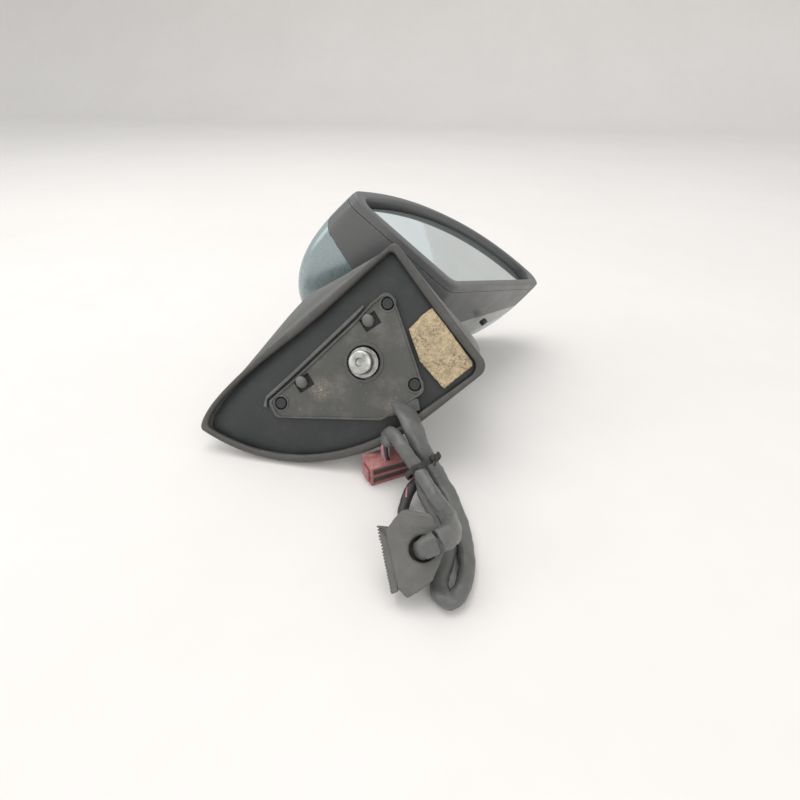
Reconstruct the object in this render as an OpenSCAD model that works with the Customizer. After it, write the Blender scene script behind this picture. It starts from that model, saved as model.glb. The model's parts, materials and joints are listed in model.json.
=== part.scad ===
// Right-hand door mirror, lying on its foot and housing, with its harness beside it.
// Foot frame: x to the rear, y outboard from the door, z up, zero on the stud axis at the gasket's crest.
// Head frame: x outboard along the glass, y up, z rearwards out of the glass, zero at the lower inner corner.

/* [Lying pose] */
// Turn about the outboard axis as the mirror lies
lie_turn = 43; // [35:1:50]
// Lean of the door face back from upright
lie_lean = 28; // [20:1:36]

/* [Door foot] */
// Distance from the stud to the foot's rear edge
foot_rear = 69.5; // [66:0.5:74]
// Distance from the stud up to the foot's top corner
foot_top = 54; // [52:1:58]
// Distance from the stud down to the lower edge
foot_low = 59; // [57:1:62]
// Radius of the swept lower front edge
foot_sweep_r = 150.4; // [148:0.1:153]
// Depth of the gasket bead
gasket_depth = 6; // [5:0.5:8]
// Wall of the foot's shell
shell_wall = 2.6; // [2:0.1:3.2]

/* [Fixing] */
// Diameter of the plain end of the mounting stud
stud_d = 17; // [14:0.5:18]
// Length that the stud stands out of its collar
stud_reach = 9; // [8:0.5:14]
// Thickness of the mounting plate
plate_t = 3; // [2.5:0.5:3.5]

/* [Fold pivot] */
// Distance of the pivot behind the stud
pivot_x = 50; // [48:1:52]
// Distance of the pivot outboard of the gasket's crest
pivot_y = 66; // [64:1:68]
// Outer radius of the pivot post
post_r = 7.5; // [7:0.5:8]

/* [Mirror head] */
// Angle between the glass and the foot's outboard direction
head_turn = 24; // [20:1:28]
// Depth of the housing in front of the bezel
head_depth = 121; // [112:1:126]
// Wall of the housing skins
skin_wall = 2.4; // [2:0.1:3]
// Thickness of the mirror glass
glass_t = 2.2; // [1.8:0.1:3]
// Depth of the glass's face inside the bezel
glass_w = 7; // [6:0.5:9]

/* [Harness] */
// Diameter of the trunk's sleeve
sleeve_d = 11; // [9:0.5:11.5]
// Diameter of the branch's sleeve, between the connector and the door grommet
branch_d = 12; // [9:0.5:13]
// Diameter of the taped thin lead
lead_d = 7; // [5:0.5:8]

/* [Hidden] */
$fn = 48;
eps = 0.01;
lay_at = [1.2, -97.9, 73.52];

// ---- shared functions ----

function bezier(a, b, c, d, t) =
    pow(1 - t, 3) * a + 3 * pow(1 - t, 2) * t * b + 3 * (1 - t) * t * t * c + pow(t, 3) * d;

// Points of the arc that rounds corner b between its neighbours a and c
function corner_arc(a, b, c, r, step) =
    let (u = (a - b) / norm(a - b), v = (c - b) / norm(c - b), half = acos(u * v) / 2,
        o = b + (u + v) / norm(u + v) * r / sin(half),
        p = b + u * r / tan(half) - o, q = b + v * r / tan(half) - o,
        a0 = atan2(p.y, p.x), sweep = (atan2(q.y, q.x) - a0 + 540) % 360 - 180,
        n = max(2, round(abs(sweep) / step)))
    [for (k = [0:n]) o + r * [cos(a0 + sweep * k / n), sin(a0 + sweep * k / n)]];

// A closed outline from corners, each given as [point, radius]; radius 0 keeps the point
function rounded(corners, step = 18) =
    let (n = len(corners))
    [for (i = [0:n - 1]) each corners[i][1] == 0 ? [corners[i][0]] :
        corner_arc(corners[(i + n - 1) % n][0], corners[i][0], corners[(i + 1) % n][0],
            corners[i][1], step)];

function blend(a, b, t) = a + (b - a) * t;

// Outline scaled about a centre
function scaled(pts, centre, k) = [for (p = pts) centre + [(p.x - centre.x) * k.x, (p.y - centre.y) * k.y]];

// Closed surface from loops of points that wrap round both ways, such as a ring with a profile
module ring_mesh(rows) {
    m = len(rows);
    n = len(rows[0]);
    faces = [for (j = [0:m - 1]) for (i = [0:n - 1])
        let (a = j * n + i, b = j * n + (i + 1) % n, c = ((j + 1) % m) * n + (i + 1) % n, d = ((j + 1) % m) * n + i)
        each [[a, b, c], [a, c, d]]];
    polyhedron(points = [for (r = rows) each r], faces = faces);
}

// Closed surface from loops of points, shut at both ends by one point each
module pole_mesh(rows, start, finish) {
    m = len(rows);
    n = len(rows[0]);
    s = m * n;
    sides = [for (j = [0:m - 2]) for (i = [0:n - 1])
        let (a = j * n + i, b = j * n + (i + 1) % n, c = (j + 1) * n + (i + 1) % n, d = (j + 1) * n + i)
        each [[a, b, c], [a, c, d]]];
    ends = [for (i = [0:n - 1]) each [[s, (i + 1) % n, i], [s + 1, (m - 1) * n + i, (m - 1) * n + (i + 1) % n]]];
    polyhedron(points = concat([for (r = rows) each r], [start, finish]), faces = concat(sides, ends));
}

// Closed patch with thickness from matching outer and inner grids of points
module patch_mesh(outer, inner) {
    m = len(outer);
    n = len(outer[0]);
    s = m * n;
    skins = [for (j = [0:m - 2]) for (i = [0:n - 2])
        let (a = j * n + i, b = a + 1, c = b + n, d = a + n)
        each [[a, b, c], [a, c, d], [s + b, s + a, s + c], [s + a, s + d, s + c]]];
    sides = [for (j = [0:m - 2]) let (a = j * n, d = a + n, b = a + n - 1, c = b + n)
        each [[a, d, s + d], [a, s + d, s + a], [b, s + c, c], [b, s + b, s + c]]];
    ends = [for (i = [0:n - 2]) let (a = i, b = i + 1, c = (m - 1) * n + i, d = c + 1)
        each [[a, s + b, b], [a, s + a, s + b], [c, d, s + d], [c, s + d, s + c]]];
    polyhedron(points = concat([for (r = outer) each r], [for (r = inner) each r]),
        faces = concat(skins, sides, ends));
}

// ---- frames ----

// Puts the foot frame where the mirror lies
module lay() {
    translate(lay_at) rotate([-lie_lean, 0, 0]) rotate([0, -lie_turn, 0]) children();
}

// Turns a shape drawn in the foot's x and z so that it is extruded outboard from y = at
module outboard(at, depth) {
    translate([0, at + depth, 0]) rotate([90, 0, 0]) linear_extrude(depth) children();
}

head_at = [88, 51, 10];

// Puts the head frame on the foot frame
module head_place() {
    lay() translate(head_at) rotate([90, 0, 90 - head_turn]) children();
}

// ---- outlines ----

foot_tip = [-134.2, 37];
sweep_start = 6;
foot_corners = concat(
    [[[foot_rear, foot_top], 4]],
    [for (k = [1:4]) [[foot_rear, blend(foot_top, 2 - foot_low, k / 5)], 0]],
    [[[foot_rear, 2 - foot_low], 9]],
    [for (k = [1:3]) [[blend(foot_rear, sweep_start, k / 4), 1.5 - foot_low], 0]],
    [[[sweep_start, -foot_low], 0]],
    [for (k = [1:12]) [[sweep_start, foot_sweep_r - foot_low]
        - foot_sweep_r * [sin(5.6 * k), cos(5.6 * k)], 0]],
    [[foot_tip, 4]],
    [for (k = [1:7]) [bezier(foot_tip, [-120, 56], [-40, 52], [foot_rear, foot_top], k / 8), 0]]);
foot_edge = rounded(foot_corners);
foot_mid = [-15, 0];

head_mid = [48, 34];
head_top = [-60, 93];
head_tip = [169, -24];
head_heel = [-9, -1];
head_corners = concat(
    [[head_top, 9]],
    [for (k = [1:12]) [bezier([-46, 92.5], [50, 93], [130, 50], [167, -10], k / 12), 0]],
    [[head_tip, 8]],
    [for (k = [1:9]) [blend(head_tip, head_heel, k / 10), 0]],
    [[head_heel, 14]],
    [for (k = [1:4]) [blend(head_heel, head_top, k / 5), 0]]);
head_edge = rounded(head_corners);
opening_mid = [47.3, 35.2];

// ---- foot ----

// Neck section that matches each point of the foot's outline, as wide as half and as tall as the column
neck_mid = [pivot_x, -25];
neck_half = [22, 21.7];
function neck_point(p) =
    let (d = p - foot_mid, a = atan2(d.y / 0.6, d.x), s = pow(pow(abs(cos(a)), 3) + pow(abs(sin(a)), 3), -1 / 3))
    [neck_half.x * cos(a) * s, neck_half.y * sin(a) * s];

// How much the shell swells past the gasket along its upper edge, nothing at the tip and the rear corner
foot_swell = 16;
function upper(p) =
    min(1, max(0, (p.y - 20) / 14)) * sin(180 * pow(min(1, max(0, (p.x + 137) / 206.5)), 1.6));

// Stations of the foot's shell: distance outboard, share of the way to the neck, narrowing of the neck,
// share of the swelling, and how far the upper edge stays behind on the way to the neck
foot_stations = concat(
    [[gasket_depth + 0.3, 0, 1, 0, 1], [9, 0.012, 1, 0.55, 1], [11.5, 0.06, 1, 0.86, 1], [13, 0.2, 1, 0.95, 1],
        [14, 0.4, 1, 0.98, 1], [15, 0.62, 1, 1, 0.98], [18, 0.82, 1, 1, 0.93], [22, 0.9, 1, 0.95, 0.78],
        [26, 0.95, 1, 0.8, 0.58], [32, 0.98, 1, 0.5, 0.25], [40, 1, 1, 0, 0], [pivot_y, 1, 1, 0, 0]],
    [for (a = [30, 55, 75]) [pivot_y + neck_half.x * sin(a), 1, cos(a), 0, 0]]);
function foot_row(s, wall) = [for (p = foot_edge)
    let (u = upper(p), e = s[1] * (1 - u * s[4] * min(1, max(0, (25 - p.x) / 25))), n = neck_point(p),
        q = blend(p + [0, foot_swell * u * s[3]], neck_mid + [n.x * s[2], n.y], e),
        c = blend(foot_mid, neck_mid, e), l = norm(q - c), k = max(0.1, 1 - wall / l),
        back = s[2] < 0.9 ? 1 : min(1, e / 0.1, (1 - e) / 0.1))
    [c.x + (q.x - c.x) * k, s[0] - wall * back, c.y + (q.y - c.y) * k]];

module base_shell() color("#5b5f62") lay() {
    outer = [for (s = foot_stations) foot_row(s, 0)];
    inner = [for (s = foot_stations) foot_row(s, shell_wall)];
    last = len(foot_stations) - 1;
    pole_mesh(concat([for (j = [last:-1:0]) outer[j]], [for (j = [0:last]) inner[j]]),
        [pivot_x, pivot_y + neck_half.x, neck_mid.y], [pivot_x, pivot_y + neck_half.x - shell_wall, neck_mid.y]);
}

// Rounded rubber bead that presses on the door
gasket_w = 6.5;
module base_gasket() color("#3d4042") lay() {
    profile = [for (a = [0:45:315]) [0.5 - 0.5 * cos(a), 0.5 + 0.5 * sin(a)]];
    ring_mesh([for (q = profile) [for (p = foot_edge)
        let (d = foot_mid - p, k = q.x * gasket_w / norm(d))
        [p.x + d.x * k, gasket_depth * (1 - q.y), p.y + d.y * k]]]);
}

panel_y = gasket_depth + 0.2;
module recess_panel() color("#3a3d40") lay() difference() {
    outboard(panel_y, 2) polygon(scaled(foot_edge, foot_mid, [0.95, 0.93]));
    outboard(panel_y - 1, 4) circle(12);
}

// Outline of the plate, from the upper rear corner round the front
plate_corners = [[[47.5, 30.5], 6], [[24, -43.5], 6], [[-14, -41.5], 10], [[-79, 8], 6], [[-77, 21], 4],
    [[-53, 22], 2], [[14, 27.5], 3], [[30, 30.5], 3]];
pin_at = [[39.2, 22.7], [-69.2, 14.2], [20.6, -34.9]];
peg_at = [[21.5, 20.5], [-45.5, 15.5]];
plate_y = panel_y - plate_t;

module plate_outline(inset = 0) {
    polygon(scaled(rounded(plate_corners), [-8, -4], [1 - inset / 60, 1 - inset / 36]));
}

module mounting_plate() color("#4a4d50") lay() difference() {
    union() {
        outboard(plate_y, plate_t) plate_outline();
        difference() {
            outboard(plate_y - 1.2, 2) plate_outline();
            outboard(plate_y - 2, 4) plate_outline(2);
        }
    }
    outboard(plate_y - 3, 10) circle(12.4);
    for (p = pin_at) outboard(plate_y - 3, 10) translate(p) circle(4.9);
    for (p = peg_at) outboard(plate_y - 3, 10) translate(p) rotate(-5) square([13, 10], center = true);
}

module plate_pins() color("#55585b") lay() for (p = pin_at) {
    outboard(plate_y - 0.6, plate_t + 0.6) translate(p) circle(3.8);
}

module locating_pegs() color("#4d5052") lay() for (p = peg_at) translate([p.x - 1.5, 0, p.y]) {
    translate([0, panel_y, 0]) rotate([90, 0, 0]) cylinder(r = 3, h = 4);
    translate([0, plate_y - 2, 0]) sphere(4.3);
}

collar_y = plate_y - 1.5;
module mounting_stud() color("#c9c8c4") lay() rotate([90, 0, 0]) {
    translate([0, 0, -12.5]) cylinder(r = 6, h = 12.5 - collar_y + eps);
    translate([0, 0, -panel_y]) cylinder(r = 11.3, h = panel_y - collar_y);
    translate([0, 0, -collar_y]) cylinder(r = stud_d / 2, h = stud_reach);
    translate([0, 0, stud_reach - collar_y]) cylinder(r1 = stud_d / 2, r2 = stud_d / 2 - 1.5, h = 1.5);
}

module foam_pad() color("#c9b48f") lay() outboard(1.2, panel_y - 1.2) {
    polygon([[62.4, 0.5], [53, 0.5], [40.5, -1.5], [33.5, -24], [35.5, -49.5], [61, -48.5], [62.4, -46]]);
}

module edge_strip() color("#66696b") lay() outboard(panel_y - 2.6, 2.6) {
    polygon([[24, 33.4], [-52, 27.2], [-76, 25.8], [-82.5, 21], [-81, 18.5], [-77, 23.2], [-53, 24.4], [14, 29.9], [24, 31.4]]);
}

// Oblong rubber gland under the plate's lower edge, where the harness leaves the foot
gland_at = [4, -43];
module cable_gland() color("#2e3032") lay() difference() {
    outboard(panel_y - 5, 5) translate(gland_at) rotate(-25) square([24, 8.5], center = true);
    outboard(plate_y - 6, 12) plate_outline();
}

// Cast arm inside the foot, from the plate's back to the boss that holds the post
module base_bracket() color("#9da1a4") lay() difference() {
    union() {
        outboard(panel_y + 2.1, 3) translate([16, -20]) square([72, 30], center = true);
        translate([38, panel_y + 6, -37]) cube([24, pivot_y - panel_y - 6, 22]);
        translate([pivot_x, pivot_y, -42]) cylinder(r = 13, h = 34);
    }
    translate([pivot_x, pivot_y, -43]) cylinder(r = post_r, h = 36);
    outboard(panel_y, 10) circle(6.2);
}

bolt_at = [[14, -30], [28, -10], [2, -22]];
module bracket_bolts() color("#8d9093") lay() for (p = bolt_at) translate([p.x, 0, p.y]) rotate([90, 0, 0]) {
    translate([0, 0, -panel_y - 7.8]) cylinder(r = 4.6, h = 2.6, $fn = 6);
}

// ---- fold pivot ----

seat_z = neck_mid.y + neck_half.y;
module on_pivot() {
    lay() translate([pivot_x, pivot_y, 0]) children();
}

module tube(r_out, r_in, z0, z1) {
    difference() {
        translate([0, 0, z0]) cylinder(r = r_out, h = z1 - z0);
        translate([0, 0, z0 - 1]) cylinder(r = r_in, h = z1 - z0 + 2);
    }
}

module pivot_post() color("#b3b6b8") on_pivot() tube(post_r, 5, -41, 40);

// Rounded ribs across a detent ring, four to a turn
module ribs(turn, z) {
    for (a = [0:90:270]) rotate(a + turn) translate([8.5, 0, z]) rotate([0, 90, 0]) cylinder(r = 0.7, h = 6);
}

// Round seat on the foot's arm
module pivot_seat() color("#5b5f62") on_pivot() tube(19.5, 15.3, -14, 0.4);

module base_detent_ring() color("#7d8083") on_pivot() {
    tube(15, post_r + 0.4, seat_z + 0.1, seat_z + 2.1);
    ribs(0, seat_z + 2);
}

// Ring that turns on the base's ring; its ribs stand between the other's at rest and either side of them folded
module head_detent_ring() color("#8f9295") on_pivot() {
    tube(15, post_r + 0.4, seat_z + 3, seat_z + 4.6);
}

spring_wire = 1.6;
spring_z = 24;
module fold_spring() color("#a8abad") on_pivot() for (k = [0:3]) {
    translate([0, 0, spring_z + 3 * k]) rotate_extrude() translate([post_r + 2.4, 0]) circle(spring_wire / 2, $fn = 16);
    if (k < 3) translate([post_r + 2.4, 0, spring_z + 3 * k]) cylinder(r = 0.7, h = 3, $fn = 12);
}

module spring_washer() color("#9a9d9f") on_pivot() tube(12.5, post_r + 0.05, 33.9, 35.4);

module retaining_ring() color("#77797b") on_pivot() difference() {
    tube(10, post_r, 35.5, 37);
    translate([0, -2, 35]) cube([12, 4, 4]);
}

module post_loom() color("#222325") on_pivot() translate([0, 0, -44]) cylinder(r = 3.6, h = 88);

// ---- head: skins ----

head_front = [27, 26];
function head_size(w) = pow(max(0, 1 - pow(w / head_depth, 3)), 1 / 3) * (1 + 0.05 * sin(180 * w / head_depth));
function head_centre(w) = blend(head_mid, head_front, pow(w / head_depth, 1.6));

// Point of the head's skin on outline point p at depth w, moved in by t
function skin(p, w, t = 0) =
    let (o = p - head_mid, c = head_centre(w), q = pow(w / head_depth, 3), side = sqrt(max(0, 1 - q * q)),
        s = head_size(w) - t * side / norm(o))
    [c.x + o.x * s, c.y + o.y * s, t * q - w];

// Depth of the joint line between the dark housing and the painted cap
bezel_w = 7;
function joint_w(p) = max(bezel_w + 5, min(64, 60.6 - 0.2575 * p.x - 0.522 * p.y));

// Depth at which the lower cover ends: it reaches past the joint line only along the bottom edge
cover_end = 86;
function cover_share(p) = p.y > 12 || p.x < 12 ? 0 : sin(180 * pow(min(1, max(0, (p.x - 12) / 152)), 0.8));
function cover_w(p) = joint_w(p) + (cover_end - joint_w(p)) * cover_share(p);
gap = 0.5;

// Depth of the wall round the glass
mouth_depth = 17;
module bezel() color("#4c5052") head_place() {
    mouth = [for (p = head_edge) opening_mid + [(p.x - head_mid.x) * 0.91, (p.y - head_mid.y) * 0.87]];
    wall = [for (p = head_edge) opening_mid + [(p.x - head_mid.x) * 0.92, (p.y - head_mid.y) * 0.887]];
    ring_mesh([
        [for (p = head_edge) skin(p, bezel_w - gap)],
        [for (p = head_edge) skin(p, 2)],
        [for (p = head_edge) let (q = skin(p, 0, 1.4)) [q.x, q.y, 0]],
        [for (p = mouth) [p.x, p.y, -0.6]],
        [for (p = mouth) [p.x, p.y, -mouth_depth]],
        [for (p = wall) [p.x, p.y, -mouth_depth]],
        [for (p = wall) [p.x, p.y, -4]],
        [for (p = head_edge) skin(p, bezel_w - gap, skin_wall)]]);
}

module rear_housing() color("#55595c") difference() {
    head_place() {
        outer = [for (k = [0:4]) [for (p = head_edge) skin(p, blend(bezel_w, joint_w(p), k / 4))]];
        inner = [for (k = [0:4]) [for (p = head_edge) skin(p, blend(bezel_w, joint_w(p), k / 4), skin_wall)]];
        ring_mesh(concat([for (k = [4:-1:0]) outer[k]], inner));
    }
    on_pivot() cylinder(r = 19.7, h = 12);
}

cap_steps = [0, 0.12, 0.28, 0.46, 0.64, 0.8, 0.91, 0.97, 0.995];
module painted_cap() color("#8fa3b0") head_place() {
    outer = [for (k = cap_steps) [for (p = head_edge) skin(p, blend(cover_w(p) + gap, head_depth, k))]];
    inner = [for (k = cap_steps) [for (p = head_edge) skin(p, blend(cover_w(p) + gap, head_depth, k), skin_wall)]];
    last = len(cap_steps) - 1;
    front = head_centre(head_depth);
    pole_mesh(concat([for (j = [last:-1:0]) outer[j]], inner),
        [front.x, front.y, -head_depth], [front.x, front.y, skin_wall - head_depth]);
}

cover_points = [for (p = head_edge) if (cover_share(p) > 0.08) p];
module lower_cover() color("#8c979e") head_place() {
    outer = [for (k = [0:4]) [for (p = cover_points) skin(p, blend(joint_w(p) + gap, cover_w(p), k / 4))]];
    inner = [for (k = [0:4]) [for (p = cover_points) skin(p, blend(joint_w(p) + gap, cover_w(p), k / 4), skin_wall)]];
    patch_mesh(inner, outer);
}

// Domed sensor in the lower cover
sensor_at = [96, -24, -44];
module temperature_sensor() color("#26282a") head_place() translate(sensor_at) rotate([90, 0, 0]) {
    cylinder(r = 3.5, h = 5, center = true);
}

// ---- head: frame and pivot ----

module head_frame() color("#6d7073") {
    difference() {
        union() {
            on_pivot() translate([0, 0, 4.4]) cylinder(r = 12, h = 18.4);
            head_place() {
                translate([-8, 2, -61]) cube([18, 10, 11]);
                translate([-8, 2, -61]) cube([30, 10, 3]);
                translate([glass_mid.x, glass_mid.y, -61]) cylinder(r = 33.5, h = 3);
                around_glass(screw_ring, 35.5, -61) cylinder(r = 4, h = 3);
                for (a = lug_ring) translate([glass_mid.x, glass_mid.y, -61]) rotate(a) translate([30, -6, 0]) {
                    cube([24.5, 12, 3]);
                }
            }
        }
        on_pivot() translate([0, 0, -10]) cylinder(r = post_r + 0.05, h = 60);
        head_place() around_glass(screw_ring, 35.5, -64) cylinder(r = 1.55, h = 8);
        head_place() around_glass(lug_ring, 49.5, -64) cylinder(r = 2.05, h = 8);
    }
}

// Round foot under the housing that turns on the seat
module head_foot() color("#505457") on_pivot() {
    tube(19.5, 12.1, 4.4, 7);
    tube(19.5, 17, 1.4, 10.8);
}

glass_mid = [47, 33.5];
screw_ring = [20, 140, 260];
lug_ring = [155, -16];
module around_glass(ring, r, z) {
    for (a = ring) translate([glass_mid.x + r * cos(a), glass_mid.y + r * sin(a), z]) children();
}

// Screws from the front through the frame plate into the actuator's lugs
module actuator_screws() color("#8a8d90") head_place() around_glass(screw_ring, 35.5, 0) {
    translate([0, 0, -62]) cylinder(r = 1.5, h = 8);
    translate([0, 0, -63.2]) cylinder(r = 3, h = 2.1);
}

// Screws from the glass side through the frame's long lugs into the housing
module frame_screws() color("#8a8d90") head_place() around_glass(lug_ring, 49.5, 0) {
    translate([0, 0, -68]) cylinder(r = 2, h = 12);
    translate([0, 0, -57.9]) cylinder(r = 3.6, h = 2.6);
}

// ---- head: glass drive ----

pivot_w = 24;
tilt_arm = 24;
pan_arm = 24;
module on_glass_axis(w = 0) {
    head_place() translate([glass_mid.x, glass_mid.y, -w]) children();
}

module actuator_body() color("#3f4346") on_glass_axis() difference() {
    union() {
        translate([0, 0, -55]) cylinder(r = 33.3, h = 24);
        translate([0, 0, -57.9]) linear_extrude(4) {
            circle(33.5);
            for (a = screw_ring) rotate(a) translate([35.5, 0]) circle(4);
        }
        for (x = [-14, 9.5]) translate([x, -4, -31.1]) cube([4.5, 8, 10.7]);
    }
    translate([0, 0, -60]) cylinder(r = 31.5, h = 26);
    for (p = [[0, tilt_arm], [pan_arm, 0]]) translate([p.x, p.y, -40]) cylinder(r = 3.05, h = 20);
    translate([-25, 0, -pivot_w]) rotate([0, 90, 0]) cylinder(r = 2.55, h = 50);
    for (a = screw_ring) rotate(a) translate([35.5, 0, -60]) cylinder(r = 1.55, h = 10);
}

// Two sealed motors, each with its worm shaft
module motor_can() {
    cylinder(r = 7, h = 14);
    translate([0, 0, 13.9]) cylinder(r = 3.2, h = 16);
}

module actuator_motors() color("#9a9c9d") on_glass_axis(47) {
    translate([-22, 14, 0]) rotate([0, 90, 0]) motor_can();
    translate([14, -22, 0]) rotate([-90, 0, 0]) motor_can();
}

module gimbal_cross() color("#d8d8d2") on_glass_axis(pivot_w) {
    sphere(3.6);
    rotate([0, 90, 0]) cylinder(r = 2.5, h = 27, center = true);
    rotate([90, 0, 0]) cylinder(r = 2.5, h = 26, center = true);
}

module glass_shape(kx, ky) {
    polygon(scaled([for (p = head_edge) p + opening_mid - head_mid], opening_mid, [kx, ky]));
}

module slab(w_front, w_back) {
    translate([0, 0, -w_back]) linear_extrude(w_back - w_front) children();
}

module glass_backing() color("#333638") difference() {
    union() {
        head_place() slab(glass_w + 0.8, glass_w + 6) glass_shape(0.872, 0.81);
        on_glass_axis() {
            for (y = [-14, 9.5]) translate([-4, y, -27.5]) cube([8, 4.5, 27.6 - glass_w - 6]);
            for (p = [[0, tilt_arm], [pan_arm, 0]]) translate([p.x, p.y, -25.5]) cylinder(r = 6.5, h = 25.6 - glass_w - 6);
        }
    }
    head_place() slab(glass_w - 2, glass_w + 3) glass_shape(0.856, 0.793);
    on_glass_axis() {
        translate([0, 20, -pivot_w]) rotate([90, 0, 0]) cylinder(r = 2.55, h = 40);
        for (p = [[0, tilt_arm], [pan_arm, 0]]) translate([p.x, p.y, -26]) cylinder(r = 4.6, h = 8);
    }
}

module heater_pad() color("#b8860b") head_place() slab(glass_w + 0.2 + glass_t, glass_w + 3) glass_shape(0.82, 0.74);

module heater_tabs() color("#b9bcbe") on_glass_axis() for (x = [-24, -16]) {
    translate([x, -20, -24]) cube([0.8, 6.3, 24 - glass_w - 6]);
}

module mirror_glass() color("#cfd8d6") head_place() slab(glass_w, glass_w + glass_t) glass_shape(0.853, 0.79);

module spindle() {
    translate([0, 0, -22]) sphere(3.5);
    translate([0, 0, -32]) cylinder(r = 2.2, h = 10);
    translate([0, 0, -53]) cylinder(r = 3, h = 21.2);
}

module tilt_spindle() color("#e3e3df") on_glass_axis() translate([0, tilt_arm, 0]) spindle();

module pan_spindle() color("#e3e3df") on_glass_axis() translate([pan_arm, 0, 0]) spindle();

// Threaded worm wheel that runs the spindle in and out
nut_teeth = 24;
module spindle_nut() {
    difference() {
        union() {
            translate([0, 0, -50]) linear_extrude(6) union() {
                circle(5.8);
                for (k = [1:nut_teeth]) rotate(k * 360 / nut_teeth) translate([5.6, -0.4]) square([1, 0.8]);
            }
            translate([0, 0, -52]) cylinder(r = 4.6, h = 11);
        }
        translate([0, 0, -55]) cylinder(r = 3.08, h = 16);
    }
}

module tilt_nut() color("#d9d4c4") on_glass_axis() translate([0, tilt_arm, 0]) spindle_nut();

module pan_nut() color("#d9d4c4") on_glass_axis() translate([pan_arm, 0, 0]) spindle_nut();

// ---- harness, laid on the table ----

// Tube swept along a route of points; aside is a direction that the route never runs in
module swept(route, r, aside = [0.2, 0.1, 1], sides = 10) {
    last = len(route) - 1;
    rings = [for (i = [0:last])
        let (t = route[min(i + 1, last)] - route[max(i - 1, 0)], side = cross(t, aside),
            u = side / norm(side), v = cross(u, t) / norm(t))
        [for (k = [0:sides - 1]) route[i] + r * (u * cos(360 * k / sides) + v * sin(360 * k / sides))]];
    pole_mesh(rings, route[0], route[last]);
}

trunk_route = [[35, -110.5, 46], [40, -119, 45], [46, -128, 40], [51, -132, 32], [57, -135, 24], [63, -138, 16],
    [70, -144, 10], [78, -156, 7], [85, -172, 6], [90, -189, 6], [93, -204, 6], [93, -217, 6], [91, -226, 6],
    [86, -230, 6], [81, -226, 6], [79, -216, 6], [80, -205, 6], [80, -194, 6.5], [78, -184, 8], [73, -175, 10],
    [67, -167, 12], [61, -159, 14], [57, -152, 16], [54, -145, 18]];
branch_route = [[26, -130, 15], [25, -129, 22], [26, -128, 30], [31, -129, 36], [39, -138, 35], [46, -144, 30],
    [53, -149, 25], [61, -160, 23], [69, -172, 23], [76, -183, 25], [81, -193, 28], [83, -204, 32],
    [81, -214, 36], [77, -221, 37], [72.5, -223, 34], [70, -219.5, 29]];
lead_route = [[53, -146, 16], [50, -151, 13], [48, -156, 10], [47, -162, 7], [47, -169, 5], [49, -176, 4.5],
    [53, -184, 5], [58, -193, 8], [63, -201, 13], [67, -209, 20]];

module harness_sleeve() color("#3c3f41") swept(trunk_route, sleeve_d / 2);

module branch_sleeve() color("#45484a") swept(branch_route, branch_d / 2, [1, 0.8, 0.3]);

module thin_lead() color("#1f2022") swept(lead_route, lead_d / 2, sides = 8);

// Band round the crossing strands, with its head
module cable_tie() color("#17181a") translate([54.5, -142, 23]) rotate([-55, 0, 53]) {
    linear_extrude(5, center = true) difference() {
        polygon(rounded([[[-13, -9.5], 6], [[12.5, -9.5], 6], [[12.5, 9], 6], [[-13, 9], 6]]));
        polygon(rounded([[[-11.8, -8.3], 5], [[11.3, -8.3], 5], [[11.3, 7.8], 5], [[-11.8, 7.8], 5]]));
    }
    translate([4, -12.5, -3]) cube([7, 3.5, 6]);
}

// Block's face plane, leaning back, zero at the middle of its hole
module on_grommet() {
    translate([69, -218.5, 29]) rotate([48, 0, 8]) children();
}

grommet_t = 13;
module door_grommet() color("#55585a") on_grommet() translate([0, 0, -grommet_t]) linear_extrude(grommet_t) {
    difference() {
        polygon(rounded([[[-13, 20.5], 5], [[4, 18.5], 4], [[13.5, 2.5], 5], [[6.5, -16], 4], [[-7, -27], 2],
            [[-12, -22], 2], [[-21, 8.5], 3]]));
        circle(7.3);
    }
}

module grommet_flange() color("#4a4d4f") on_grommet() translate([0, 0, -10]) linear_extrude(8) {
    polygon([[-26, 10.5], [-15.8, -25], [-12.2, -22.6], [-21.3, 9.2]]);
}

connector_size = [34, 18, 15.5];
module on_connector() {
    translate([18.5, -143.5, 0]) rotate(38) children();
}

cavity_rows = [2, 8.6];
module connector_shell() color("#a34a55") on_connector() difference() {
    cube(connector_size);
    for (z = cavity_rows) translate([2, -1, z]) cube([30, 13, 4.8]);
}

module connector_cores() color("#2b1f22") on_connector() for (z = cavity_rows) {
    translate([2.5, 1.5, z + 0.2]) cube([29, 10, 4.4]);
}

module connector_lock() color("#b65a64") on_connector() translate([-1.9, 2, 3]) cube([1.6, 11, 9]);

base_shell();
base_gasket();
recess_panel();
mounting_plate();
plate_pins();
locating_pegs();
mounting_stud();
foam_pad();
edge_strip();
cable_gland();
base_bracket();
bracket_bolts();
pivot_post();
pivot_seat();
base_detent_ring();
fold_spring();
spring_washer();
retaining_ring();
post_loom();
head_frame();
head_detent_ring();
head_foot();
frame_screws();
bezel();
rear_housing();
painted_cap();
lower_cover();
temperature_sensor();
actuator_body();
actuator_motors();
actuator_screws();
gimbal_cross();
glass_backing();
heater_pad();
heater_tabs();
mirror_glass();
tilt_spindle();
pan_spindle();
tilt_nut();
pan_nut();
harness_sleeve();
branch_sleeve();
thin_lead();
cable_tie();
door_grommet();
grommet_flange();
connector_shell();
connector_cores();
connector_lock();
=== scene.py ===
import json
import math
import bmesh
import bpy
from mathutils import Matrix, Vector, noise


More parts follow.
